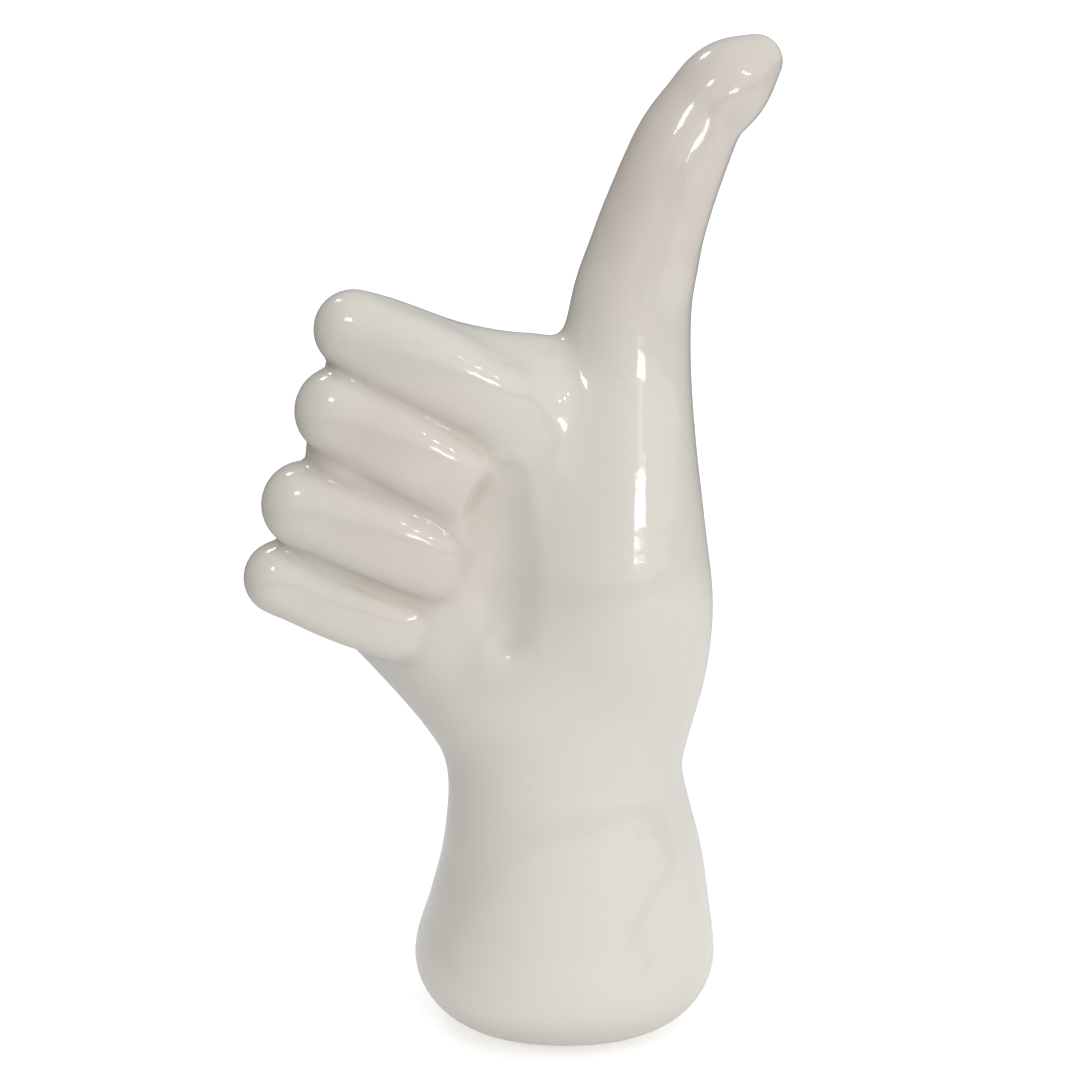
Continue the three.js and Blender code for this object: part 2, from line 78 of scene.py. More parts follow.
# The thumb, from its root above the wrist to its tip.
THUMB_X = 25.1                   # the middle of its root
THUMB_ROOT_UP = 76.5
THUMB_BALL_RADIUS = 20
THUMB_TIP_RADIUS = 5.8
THUMB_LEAN = 25.1                # about how far its tip stands beside its root
THUMB_TIP_UP = HEIGHT - THUMB_TIP_RADIUS

# The fist: its reach away from the thumb, its rise above the wrist, its front.
FIST_REACH = 75.3
FIST_RISE = 102
FIST_FRONT = 16.8
FINGER_RADIUS = 9.6              # the stoutest finger

# Widths over which neighbouring forms run into each other.
FINGER_BEND = 5                  # the front and the back of one finger
FINGER_BLEND = 5                 # one finger and the next
WEB_BLEND = 8                    # the web, the index finger and the body
CREASE_BLEND = 2.5               # the fingers and the flesh in their creases
CORE_BLEND = 12                  # the cores of the fist
FIST_BLEND = 3.5                 # the fingers and the body
RAY_BLEND = 14                   # the bones of the back of the hand
WRIST_BLEND = 11                 # the forearm and the palm
HEEL_BLEND = 40                  # the heel and its end in the palm
PALM_BLEND = 10                  # the palm and the fist
THUMB_BLEND = 14                 # the thumb and the body
HOLLOW_BLEND = 3                 # the rim of the palm's hollow

# The forearm from the foot to the wrist: share of the way up, shift of its
# middle as a share of the wrist's width, and how much of the foot's spread is left.
FOREARM_FLARE = [
    (0, 0, 1),
    (0.26, 0.019, 0.71),
    (0.52, 0.03, 0.42),
    (0.78, 0.015, 0.15),
    (1, -0.004, 0),
]

# The heel above the wrist: share of its rise, shift of its middle as above, and
# its width and depth as shares of the wrist's.
HEEL = [
    (0.17, 0, 0.985, 0.975),
    (0.38, -0.062, 1.005, 0.898),
    (0.69, -0.086, 0.905, 0.78),
    (1.07, -0.057, 0.81, 0.68),
]

# Places in the hand are four shares: of the fist's reach away from the thumb,
# of the fist's front, of its rise above the wrist, and of the finger's radius.
# The core is the flesh behind a finger: how far it sinks, and its two ends' flesh.
FINGERS = [
    {
        "knuckle": (0.774, 0.863, 1.004, 0.782),
        "middle": (0.58, 0.952, 0.94, 0.98),
        "tip": (0.375, 0.87, 0.86, 0.93),
        "back": (0.652, -0.714, 0.76, 0.938),
        "core": {"sink": 0.93, "near": 0.98, "far": 1.46},
    },
    {
        "knuckle": (0.818, 0.923, 0.832, 0.896),
        "middle": (0.637, 1, 0.764, 1),
        "tip": (0.462, 0.9, 0.679, 0.917),
        "back": (0.717, -0.833, 0.676, 0.99),
        "core": {"sink": 0.73, "near": 1.04, "far": 1.46},
    },
    {
        "knuckle": (0.923, 0.893, 0.627, 0.875),
        "middle": (0.73, 0.976, 0.576, 0.979),
        "tip": (0.549, 0.9, 0.508, 0.896),
        "back": (0.81, -0.774, 0.51, 0.99),
        "core": {"sink": 0.73, "near": 1.04, "far": 1.46},
    },
    {
        "knuckle": (1, 0.804, 0.46, 0.737),
        "middle": (0.833, 0.833, 0.402, 0.785),
        "tip": (0.657, 0.79, 0.353, 0.771),
        "back": (0.863, -0.536, 0.392, 0.75),
        "core": {"sink": 0.21, "near": 0.78, "far": 1.25},
    },
]

# The web of flesh behind the index finger, from its knuckle to the thumb.
WEB = [
    (0.692, 0.476, 0.957, 0.896),
    (0.5, 0.446, 0.898, 0.917),
    (0.285, 0.417, 0.884, 0.938),
]

# The flesh in the crease between two fingers, from its places midway between
# theirs: shifts as shares of the finger's radius, and how much its flesh is scaled.
CREASE_START = ((0.85, 0.42, -0.03), 1.3)
CREASE_END = ((0.52, 0.33, -0.05), 1.14)
CREASE_BACK = ((0.31, 0, 0.1), 0.87)

# The core of the fist behind each finger, under its knuckle and in the palm: share
# of the fist's front, and its shift sideways and up as shares of the finger's radius.
CORE_UNDER_KNUCKLE = {"front": 0.18, "aside": 1.25, "up": 0}
CORE_IN_PALM = {"front": 0.33, "aside": 0.73, "up": 0.31}

# The bones of the back of the hand run from these roots to just beside the back
# knuckles, two rays to the fold under the thumb, and two more fill the palm.
RAY_END = ((0.42, -0.36, -0.21), 1.2)
RAY_ROOTS = [
    (0.106, -0.298, 0.275, 1.823),
    (0.186, -0.357, 0.235, 1.823),
    (0.279, -0.298, 0.196, 1.771),
    (0.408, -0.179, 0.18, 1.688),
]
FOLD_RAYS = [
    [(0.053, -0.179, 0.324, 1.771), (0.425, -0.238, 0.747, 1.281)],
    [(0.027, -0.119, 0.373, 1.667), (0.239, -0.238, 0.777, 1.188)],
]
PALM_RAYS = [
    [(0.386, 0.238, 0.186, 1.51), (0.612, 0.298, 0.358, 1)],
    [(0.187, 0.28, 0.245, 1.58), (0.227, 0.4, 0.68, 1.2)],
]

# The limb that is pressed into the palm as its hollow, from the top down.
PALM_HOLLOW = [
    (0.33, 1.42, 0.7, 0.5),
    (0.355, 1.56, 0.607, 0.92),
    (0.362, 1.63, 0.474, 1.02),
    (0.357, 1.62, 0.351, 0.8),
]

# The thumb: share of the way from its root to its tip, share of its lean, share
# of the ball's radius toward the front, and its flesh, from 0 at the tip to 1.
THUMB = [
    (0, 0, 0.05, 0.613),
    (0.066, 0.012, 0.2, 0.844),
    (0.178, -0.032, 0.312, 1),
    (0.289, -0.024, 0.3, 0.887),
    (0.415, 0, 0.262, 0.694),
    (0.527, 0.008, 0.162, 0.591),
    (0.632, 0.048, 0.125, 0.513),
    (0.705, 0.143, 0.128, 0.444),
    (0.774, 0.255, 0.125, 0.387),
    (0.868, 0.456, 0.115, 0.333),
    (0.926, 0.638, 0.106, 0.255),
    (0.966, 0.84, 0.096, 0.245),
    (1, 1.075, 0.096, 0),
]
THUMB_HOLLOW_STATIONS = 9        # the cast thumb is solid beyond this station

# How finely the limbs and the mesh are worked out.
FINGER_BALLS = 13                # along the front of a finger
THUMB_STEPS = 4                  # from one station to the next
WEB_STEPS = 2
HOLLOW_STEPS = 3
MESH_STEP = 1.15

# Where the glaze fired warmer: places, and how far each reaches.
WARM_SPOTS = [
    ((THUMB_X - 0.62 * FIST_REACH, -FIST_FRONT, WRIST_UP + 0.72 * FIST_RISE), 34),
    ((THUMB_X - 0.62 * FIST_REACH, -FIST_FRONT, WRIST_UP + 0.54 * FIST_RISE), 30),
    ((THUMB_X + 0.45 * THUMB_LEAN, 0, 0.88 * HEIGHT), 56),
]
WARM_ALL_OVER = 0.12             # the share of warmth outside the spots

# Painted shade, a darker colour in the creases and the palm's hollow: from none to full.
SHADE_BEND_REACH = 1.6                 # how far round a point its bend is measured
SHADED_BEND = (0.02, -0.22)      # the skin's bend, below zero in a crease
SHADED_DEPTH = (-0.2, -2.4)      # how deep the palm's hollow is pressed in
HOLLOW_SHADED = 0.8              # the share that the palm's hollow takes

# Where the clay is bare: inside, and where the foot was wiped with a sponge.
INSIDE_DEPTH = (-0.4, -1.4)      # from the glaze to the bare inside
WIPED_HEIGHT = 0.5
WIPED_RAGGED = 0.2
WIPED_WAVES = (3.1, 2.3)         # the ragged edge's waves, along x and y, per radian
WIPED_FADE = 0.15

# A rubber pad: moulded, slightly dished below, on its film of adhesive.
PAD_EDGE = 0.35                  # the rounding of its edges
PAD_EDGE_STEPS = 6
PAD_SIDES = 64
PAD_DISH = 0.12                  # how far the middle of its underside is raised
PAD_SHARP_ANGLE = 50             # degrees, above which an edge isn't smoothed
GLUE_INSET = 0.5                 # from the pad's side to its adhesive
GLUE_GAP = 0.02                  # from the adhesive to the glaze

# Colours as a picture shows them, 0 to 255.
GLAZE_COLOUR = (212, 209, 200)
WARM_COLOUR = (208, 197, 190)
# painted shade: the darker colour in the creases and the palm's hollow
PAINTED_SHADE_COLOUR = (188, 182, 166)
SPECK_COLOUR = (176, 160, 138)
CLAY_COLOURS = ((214, 203, 184), (226, 218, 203))
RUBBER_COLOURS = ((92, 90, 87), (112, 110, 106))

# The camera, fitted to the photograph's outline: metres, degrees and pixels.
PHOTO_PIXELS = 1080
CAMERA_FOCAL_PIXELS = 2810
SENSOR_WIDTH = 36                # millimetres
CAMERA_AT = (0.0066, -0.6, 0.29)
CAMERA_PITCH = 16.4

# The floor of white card, in metres: lit through near the hand, grey far from it.
FLOOR_HALF_WIDTH = 6
CARD_MIDDLE = (0.3, -0.2, 0)
CARD_EDGE = (0.2, 0.85)          # where it starts to darken, and where it ends
CARD_NEAR = 0.85                 # how much of the light it throws back
CARD_FAR = 0.2
CARD_GLOW = 0.16
CARD_SHOWN = (0.5, 1.0)          # the glow that only the camera sees, near and far

# The studio round it: from the shade to the side of its big window.
WINDOW = (48, 32)                # degrees right of the front, and degrees up
WINDOW_GLOW = 1.08
SHADE_GLOW = 0.14

# The lamps, whose directions and sizes are in degrees as seen from what they face.
LAMP_COLOUR = (1, 0.985, 0.96)
HAND_MIDDLE = Vector((0, 0, HEIGHT / 2)) * MM
LAMP_DISTANCE = 4
BULBS = [(33, 30), (38, 24), (44, 19)]
BULB_SIZE = 1.7
BULB_GLOW = 90
LEFT_LAMPS = [(-28, 30), (-136, 48)]
LEFT_LAMP_SIZE = 9
LEFT_LAMP_GLOW = 11

# The window's panes that the thumb mirrors: two for the direction, then their
# width, height and glow.
THUMB_FRONT = Vector((THUMB_X, -THUMB_BALL_RADIUS, 0.7 * HEIGHT)) * MM
PANE_DISTANCE = 0.7
PANES = [(25, 2.6, 15, 5.4, 10), (25, 9, 5, 7, 1.5)]

# A Mix node's sockets for each kind of value: its two inputs and its result.
MIX_SOCKETS = {"FLOAT": (2, 3, 0), "VECTOR": (4, 5, 1), "RGBA": (6, 7, 2)}


def mix(a, b, t):
    """The value at the share t of the way from a to b."""
    return a + (b - a) * t


def blend(a, b, width):
    """The smaller of two distances, with their meeting rounded over a width."""
    h = np.maximum(width - np.abs(a - b), 0) / width
    return np.minimum(a, b) - h * h * h * width / 6


def carve(a, b, width):
    """The larger of two distances, with their meeting rounded over a width."""
    return -blend(-a, -b, width)


def rounded_both(a, b, radius):
    """Inside both shapes, with the edge between them rounded to a radius."""
    u = np.maximum(a + radius, 0)
    v = np.maximum(b + radius, 0)
    return np.minimum(np.maximum(a, b), -radius) + np.hypot(u, v)


def round_cone(start, end):
    """Distance to the cone that wraps two balls, each x, y, z and radius."""
    start = np.asarray(start, float)
    run = np.asarray(end[:3], float) - start[:3]
    length = math.sqrt(run @ run)
    slope = (start[3] - end[3]) / length
    lead = slope / math.sqrt(1 - slope * slope)
    run /= length

    def distance(p):
        q = p - start[:3]
        along = q @ run
        off = np.sqrt(np.maximum((q * q).sum(1) - along * along, 0))
        at = np.clip(along - off * lead, 0, length)
        return np.hypot(off, along - at) - start[3] + slope * at

    return distance


def smooth_through(points, steps):
    """Points on the smooth curve through the given ones, radii included."""
    points = np.asarray(points, float)
    first = 2 * points[0] - points[1]
    last = 2 * points[-1] - points[-2]
    full = np.vstack([first, points, last])
    curve = []
    for a, b, c, d in zip(full, full[1:], full[2:], full[3:]):
        for t in np.arange(steps) / steps:
            bend = 2 * a - 5 * b + 4 * c - d
            twist = 3 * b - a - 3 * c + d
            curve.append(0.5 * (2 * b + (c - a) * t + bend * t**2 + twist * t**3))
    return [*curve, points[-1]]


def limb(points, steps):
    """A limb of flesh along the smooth curve through the given points."""
    curve = smooth_through(points, steps)
    cones = [round_cone(a, b) for a, b in zip(curve, curve[1:])]
    return lambda p: np.minimum.reduce([cone(p) for cone in cones])


def arch_through(points, steps):
    """Points on the one even arch through the three given ones, radii included."""
    first, crown, last = points
    curve = []
    for t in np.linspace(0, 1, steps):
        at_ends = first * (1 - t) * (1 - 2 * t) + last * t * (2 * t - 1)
        curve.append(at_ends + crown * 4 * t * (1 - t))
    return curve


def smooth_limb(curve, squarish=False):
    """A limb without joints in its skin: close balls, and the least way between them.

    The distance between three neighbouring balls is taken as a parabola. A squarish
    limb has a flatter front and back, and flatter upper and lower sides.
    """
    curve = np.array(curve)
    run = curve[-1, :3] - curve[0, :3]
    upward = np.cross(run, (0, 1, 0))
    sides = np.stack([run, upward, np.cross(upward, run)])
    sides /= np.sqrt((sides * sides).sum(1))[:, None]
    centres = curve[:, :3] @ sides.T

    def to_ball(q, centre, radius):
        along, up, front = (np.abs(q[:, axis] - centre[axis]) for axis in range(3))
        if squarish:
            return np.hypot(along, np.cbrt(up * up * up + front * front * front)) - radius
        return np.sqrt(along * along + up * up + front * front) - radius

    def distance(p):
        q = p @ sides.T
        least = np.full(len(p), np.inf)
        behind, here = None, None
        for centre, radius in zip(centres, curve[:, 3]):
            ahead = to_ball(q, centre, radius)
            if behind is not None:
                lean = (ahead - behind) / 2
                bend = np.maximum(ahead - 2 * here + behind, 1e-6)
                step = np.clip(-lean / bend, -1, 1)
                least = np.minimum(least, here + step * (lean + step * bend / 2))
            behind, here = here, ahead
        return least

    return distance


def blend_all(shapes, width):
    """Several shapes blended one after another over a width."""

    def distance(p):
        least = shapes[0](p)
        for shape in shapes[1:]:
            least = blend(least, shape(p), width)
        return least

    return distance


def place(shares):
    """A place in the hand as x, y, z and radius, from its four shares."""
    out, front, up, flesh = shares
    return np.array([
        THUMB_X - out * FIST_REACH,
        -front * FIST_FRONT,
        WRIST_UP + up * FIST_RISE,
        flesh * FINGER_RADIUS,
    ])


def moved(spot, shift, grow):
    """The same place moved by shares of the finger's radius, its flesh scaled."""
    return np.append(spot[:3] + np.array(shift) * FINGER_RADIUS, spot[3] * grow)


def forearm_rows():
    """Height, middle and half sizes of the forearm at some heights."""
    rows = []
    for up, lean, spread in FOREARM_FLARE:
        wide = mix(WRIST_WIDTH, FOOT_WIDTH, spread) / 2
        deep = mix(WRIST_DEPTH, FOOT_DEPTH, spread) / 2
        rows.append((mix(FOOT_UP, WRIST_UP, up), FOOT_X + lean * WRIST_WIDTH, wide, deep))
    for up, lean, wide, deep in HEEL:
        height = WRIST_UP + up * HEEL_RISE
        middle = FOOT_X + lean * WRIST_WIDTH
        rows.append((height, middle, wide * WRIST_WIDTH / 2, deep * WRIST_DEPTH / 2))
    return np.array([(0, *rows[0][1:]), *rows])


def profile(rows):
    """A smooth curve through rows that stand at given heights."""
    heights, values = rows[:, 0], rows[:, 1:]
    low = np.maximum(np.arange(len(rows)) - 1, 0)
    high = np.minimum(np.arange(len(rows)) + 1, len(rows) - 1)
    slopes = (values[high] - values[low]) / (heights[high] - heights[low])[:, None]

    def at(height):
        height = np.clip(height, heights[0], heights[-1])
        i = np.clip(np.searchsorted(heights, height) - 1, 0, len(rows) - 2)
        step = (heights[i + 1] - heights[i])[:, None]
        t = (height - heights[i])[:, None] / step
        ease = t * t * (3 - 2 * t)
        leave = t * (1 - t) ** 2 * step
        arrive = t * t * (t - 1) * step
        rise = values[i + 1] - values[i]
        return values[i] + rise * ease + slopes[i] * leave + slopes[i + 1] * arrive

    return at


def forearm():
    """The forearm and heel, a loft of squarish ellipses without its rounded foot."""
    row_at = profile(forearm_rows())
    power = FOREARM_SQUARENESS
    top = WRIST_UP + HEEL_RISE

    def distance(p):
        row = row_at(p[:, 2])
        x = p[:, 0] - row[:, 0]
        out = np.hypot(x, p[:, 1]) + 1e-6
        across = np.abs(x) / out / row[:, 1]
        through = np.abs(p[:, 1]) / out / row[:, 2]
        side = out - (across**power + through**power) ** (-1 / power)
        return carve(side, p[:, 2] - top, HEEL_BLEND)

    return distance


def finger(parts):
    """One bent finger: from its tip over the front to the knuckle, then back."""
    spots = [place(parts[key]) for key in ("knuckle", "middle", "tip")]
    front = smooth_limb(arch_through(spots, FINGER_BALLS), squarish=True)
    behind = limb([place(parts["knuckle"]), place(parts["back"])], 1)
    return blend_all([front, behind], FINGER_BEND)


def crease(upper, lower):
    """The flesh that fills the crease between two neighbouring fingers."""

    def between(part):
        return (place(upper[part]) + place(lower[part])) / 2

    thinner = FINGER_RADIUS * min(upper["knuckle"][3], lower["knuckle"][3])
    start, end = between("knuckle"), between("tip")
    start[3] = end[3] = thinner
    start = moved(start, *CREASE_START)
    end = moved(end, *CREASE_END)
    back = moved(between("back"), *CREASE_BACK)
    return blend_all([limb([start, end], 1), limb([start, back], 1)], FINGER_BEND)


def index_finger():
    """The index finger with the web of flesh behind it."""
    web = limb([place(spot) for spot in WEB], WEB_STEPS)
    return blend_all([finger(FINGERS[0]), web], WEB_BLEND)


def other_fingers():
    """The other three fingers, and the creases between all four."""
    bent = blend_all([finger(parts) for parts in FINGERS[1:]], FINGER_BLEND)
    creases = [crease(upper, lower) for upper, lower in zip(FINGERS, FINGERS[1:])]

    def filled(p):
        return np.minimum.reduce([fill(p) for fill in creases])

    return blend_all([bent, filled], CREASE_BLEND)


def fist():
    """The closed fist behind the fingers, with a core of flesh for each."""

    def core_end(part, end, sink, thick):
        out, _, up, _ = part
        spot = place((out, end["front"], up, thick))
        return moved(spot, (end["aside"], 0, end["up"] - sink), 1)

    cores = []
    for parts in FINGERS:
        core = parts["core"]
        near = core_end(parts["knuckle"], CORE_UNDER_KNUCKLE, core["sink"], core["near"])
        far = core_end(parts["tip"], CORE_IN_PALM, core["sink"], core["far"])
        cores.append(limb([near, far], 1))
    return blend_all(cores, CORE_BLEND)


def palm():
    """The back of the hand and the palm, up to the fold under the thumb."""
    bones = []
    for root, parts in zip(RAY_ROOTS, FINGERS):
        end = moved(place(parts["back"]), *RAY_END)
        bones.append(limb([place(root), end], 1))
    fills = [limb([place(spot) for spot in ends], 1) for ends in FOLD_RAYS + PALM_RAYS]
    return blend_all([*bones[::-1], *fills], RAY_BLEND)


def thumb(stations):
    """The thumb, from its ball at the wrist to the given number of stations."""
    spots = []
    for up, lean, front, flesh in THUMB[:stations]:
        spots.append((
            THUMB_X + lean * THUMB_LEAN,
            -front * THUMB_BALL_RADIUS,
            mix(THUMB_ROOT_UP, THUMB_TIP_UP, up),
            mix(THUMB_TIP_RADIUS, THUMB_BALL_RADIUS, flesh),
        ))
    return smooth_limb(smooth_through(spots, THUMB_STEPS))


def flesh(ridges, stations):
    """The hand's form, or without its ridges the form that its inside follows."""
    arm = blend_all([forearm(), palm()], WRIST_BLEND)
    body = blend_all([blend_all([arm, fist()], PALM_BLEND), thumb(stations)], THUMB_BLEND)
    if not ridges:
        return body
    with_index = blend_all([body, index_finger()], WEB_BLEND)
    return blend_all([with_index, other_fingers()], FIST_BLEND)


def skin(body):
    """A form with the palm's hollow pressed into it, standing on its rounded foot."""
    dent = limb([place(spot) for spot in PALM_HOLLOW], HOLLOW_STEPS)

    def distance(p):
        dented = carve(body(p), -dent(p), HOLLOW_BLEND)
        return rounded_both(dented, GLAZE_BOTTOM - p[:, 2], FOOT_ROUND)

    return distance


def drain(p):
    """Distance to the drain hole, a round hole through the foot's floor."""
    side = np.hypot(p[:, 0] - FOOT_X, p[:, 1]) - DRAIN_DIAMETER / 2
    return np.maximum(side, p[:, 2] - GLAZE_BOTTOM - 2 * WALL)


FLESH = flesh(ridges=True, stations=len(THUMB))
OUTSIDE = skin(FLESH)
INSIDE_FORM = skin(flesh(ridges=False, stations=THUMB_HOLLOW_STATIONS))


def clay(p):
    """Distance to the wall of clay between the hand's outside and its hollow."""
    hollow = blend(INSIDE_FORM(p) + WALL, drain(p), RIM_ROUND)
    return carve(OUTSIDE(p), -hollow, RIM_ROUND)


def gradient(field, p, reach=0.05):
    """The field's slope along x, y and z at each point."""
    slope = np.empty_like(p)
    for axis in range(3):
        shift = np.zeros(3)
        shift[axis] = reach
        slope[:, axis] = (field(p + shift) - field(p - shift)) / (2 * reach)
    return slope


def near_values(field, low, high, step, coarse=4, margin=1.1):
    """The field on a grid, worked out finely only where the surface can be.

    A coarse block is left out if no corner of it is within the margin, in blocks,
    of the surface. Half a block's diagonal is 0.87, so none is missed.
    """
    big = step * coarse
    count = np.ceil((high - low) / big).astype(int) + 1
    axes = [low[k] + big * np.arange(count[k]) for k in range(3)]
    corners = np.stack(np.meshgrid(*axes, indexing="ij"), -1).reshape(-1, 3)
    value = field(corners).reshape(count)
    nearest = np.full(count - 1, np.inf)
    for i, j, k in np.ndindex(2, 2, 2):
        part = value[i:count[0] - 1 + i, j:count[1] - 1 + j, k:count[2] - 1 + k]
        nearest = np.minimum(nearest, np.abs(part))
    blocks = np.argwhere(nearest < big * margin)
    fine = value[:-1, :-1, :-1]
    for axis in range(3):
        fine = np.repeat(fine, coarse, axis)
    full = np.pad(fine, ((0, 1),) * 3, mode="edge")
    wanted = np.zeros(full.shape, bool)
    for offset in np.ndindex((coarse + 1,) * 3):
        wanted[tuple((blocks * coarse + offset).T)] = True
    spots = np.argwhere(wanted)
    full[wanted] = field(low + spots * step)
    return full


def cut_edges(value, axis):
    """Which grid edges along an axis the surface crosses, and where on them."""
    first = np.delete(value, -1, axis)
    second = np.delete(value, 0, axis)
    cut = (first < 0) != (second < 0)
    at = np.where(cut, first / np.where(cut, first - second, 1), 0)
    return cut, at, first < 0


def surface(field, low, high, step):
    """The closed surface where the field is zero, as points and four-sided faces.

    Each grid cell that the surface crosses has one point, the middle of where its
    edges are cut, and each cut edge has one face, through its four cells' points.
    """
    value = near_values(field, low, high, step)
    cells = np.array(value.shape) - 1
    total = np.zeros((*cells, 3))
    count = np.zeros(cells, int)
    edges = [cut_edges(value, axis) for axis in range(3)]
    for axis, (cut, at, _) in enumerate(edges):
        side, up = (axis + 1) % 3, (axis + 2) % 3
        for i, j in np.ndindex(2, 2):
            span = [slice(None)] * 3
            span[side] = slice(i, i + cells[side])
            span[up] = slice(j, j + cells[up])
            here = cut[tuple(span)]
            count += here
            total[..., axis] += at[tuple(span)]
            total[..., side] += i * here
            total[..., up] += j * here
    used = np.argwhere(count > 0)
    number = np.full(cells, -1)
    number[tuple(used.T)] = np.arange(len(used))
    points = used + total[tuple(used.T)] / count[tuple(used.T)][:, None]
    faces = []
    for axis, (cut, _, starts_inside) in enumerate(edges):
        side, up = (axis + 1) % 3, (axis + 2) % 3
        spots = np.argwhere(cut)
        corners = []
        for i, j in ((-1, -1), (0, -1), (0, 0), (-1, 0)):
            cell = spots.copy()
            cell[:, side] += i
            cell[:, up] += j
            corners.append(number[tuple(cell.T)])
        quad = np.stack(corners, 1)
        outward = starts_inside[tuple(spots.T)]
        quad[~outward] = quad[~outward][:, ::-1]
        faces.append(quad)
    return low + points * step, np.concatenate(faces)


def settled(field, points, rounds=3, least_slope=0.2):
    """The points moved onto the surface where the field is zero.

    A slope whose square is under the least would throw a point too far.
    """
    slope = gradient(field, points)
    step = slope / np.maximum((slope * slope).sum(1), least_slope)[:, None]
    for _ in range(rounds):
        points = points - field(points)[:, None] * step
    return points


def closed(faces):
    """Whether each edge is shared by exactly two faces."""
    edges = np.concatenate([faces[:, [i, (i + 1) % 4]] for i in range(4)])
    _, uses = np.unique(np.sort(edges, 1), axis=0, return_counts=True)
    return (uses == 2).all()


def add_mesh(name, points, faces):
    """A smooth-shaded mesh object from points in millimetres."""
    mesh = bpy.data.meshes.new(name)
    mesh.from_pydata((points * MM).tolist(), [], faces)
    mesh.shade_smooth()
    mesh.update()
    piece = bpy.data.objects.new(name, mesh)
    bpy.context.scene.collection.objects.link(piece)
    return piece


def set_shares(piece, name, values):
    """Stores a share for each point of a piece, for its material to read."""
    layer = piece.data.attributes.new(name, "FLOAT", "POINT")
    layer.data.foreach_set("value", values.astype(np.float32))


def smooth_step(low, high, value):
    """An eased share: 0 up to low and 1 from high on, whichever of them is larger."""
    t = np.clip((value - low) / (high - low), 0, 1)
    return t * t * (3 - 2 * t)


def painted_shading_shares(points):
    """Painted shade: how much darker colour goes in the creases and the palm's hollow."""
    bending = -6 * OUTSIDE(points)
    for axis in range(3):
        shift = np.zeros(3)
        shift[axis] = SHADE_BEND_REACH
        bending += OUTSIDE(points + shift) + OUTSIDE(points - shift)
    in_creases = smooth_step(*SHADED_BEND, bending / SHADE_BEND_REACH**2)
    in_hollow = HOLLOW_SHADED * smooth_step(*SHADED_DEPTH, FLESH(points))
    return np.maximum(in_creases, in_hollow)


def bare_shares(points):
    """Where no glaze covers the clay: inside, and under the wiped foot."""
    inside = smooth_step(*INSIDE_DEPTH, OUTSIDE(points))
    x_wave, y_wave = (np.sin(points[:, k] / WIPED_WAVES[k]) for k in range(2))
    wiped = GLAZE_BOTTOM + WIPED_HEIGHT + WIPED_RAGGED * x_wave * y_wave
    underneath = smooth_step(WIPED_FADE, -WIPED_FADE, points[:, 2] - wiped)
    return np.maximum(inside, underneath)


def warm_shares(points):
    """Where the glaze fired warmer: most in the middle of each warm spot."""
    warm = np.zeros(len(points))
    for spot, reach in WARM_SPOTS:
        away = np.sqrt(((points - spot) ** 2).sum(1))
        warm = np.maximum(warm, smooth_step(reach, 0, away))
    return warm


def make_hand():
    """The hollow ceramic hand, in its glaze."""
    margin = 4 * MESH_STEP
    low = np.array(SHELL_LOW) - margin
    high = np.array(SHELL_HIGH) + margin
    points, faces = surface(clay, low, high, MESH_STEP)
    if not closed(faces):
        # Where two sheets share a cell, the grid is shifted and tried once more.
        points, faces = surface(clay, low - MESH_STEP / 3, high, MESH_STEP)
    points = settled(clay, points)
    hand = add_mesh("glazed_hand", points, faces.tolist())
    set_shares(hand, "painted_shade", painted_shading_shares(points))
    set_shares(hand, "bare", bare_shares(points))
    set_shares(hand, "warm", warm_shares(points))
    hand.data.materials.append(glaze_material())
    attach(hand, "root")
    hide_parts("hand_shell")


def pad_rings(radius, thickness):
    """A pad's outline, radius and height, from the middle below to its adhesive."""
    glue = radius - GLUE_INSET
    glue_top = GLAZE_BOTTOM - GLUE_GAP
    turns = np.linspace(0, math.pi / 2, PAD_EDGE_STEPS)
    dish_middle, dish_edge = radius * 0.55, radius * 0.8
    rings = [(0.0, PAD_DISH), (dish_middle, PAD_DISH / 2), (dish_edge, 0.0)]
    for turn in turns:
        out = radius - PAD_EDGE + PAD_EDGE * math.sin(turn)
        rings.append((out, PAD_EDGE - PAD_EDGE * math.cos(turn)))
    for turn in turns:
        out = radius - PAD_EDGE + PAD_EDGE * math.cos(turn)
        rings.append((out, thickness - PAD_EDGE + PAD_EDGE * math.sin(turn)))
    return [*rings, (glue, thickness), (glue, glue_top), (0.0, glue_top)]


def turned(rings, middle, sides):
    """The closed form that an outline makes as it turns about an upright axis."""
    points = [middle + (0, 0, rings[0][1])]
    for out, up in rings[1:-1]:
        for side in range(sides):
            angle = 2 * math.pi * side / sides
            points.append(middle + (out * math.cos(angle), out * math.sin(angle), up))
    points.append(middle + (0, 0, rings[-1][1]))
    top_ring = len(rings) - 3
    faces = []
    for side in range(sides):
        after = (side + 1) % sides
        faces.append((0, 1 + after, 1 + side))
        for ring in range(top_ring):
            here = 1 + ring * sides
            above = here + sides
            faces.append((here + side, here + after, above + after, above + side))
        top = 1 + top_ring * sides
        faces.append((top + side, top + after, len(points) - 1))
    return np.array(points), faces


def make_pad(node, rubber):
    """A moulded rubber pad on its adhesive, in the place of its CAD node."""
    low, high = (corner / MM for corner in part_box(node))
    middle = np.array([(low.x + high.x) / 2, (low.y + high.y) / 2, 0])
    rings = pad_rings((high.x - low.x) / 2, high.z)
    pad = add_mesh("rubber_" + node, *turned(rings, middle, PAD_SIDES))
    pad.data.set_sharp_from_angle(angle=math.radians(PAD_SHARP_ANGLE))
    pad.data.materials.append(rubber)
    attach(pad, "root")
    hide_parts(node)


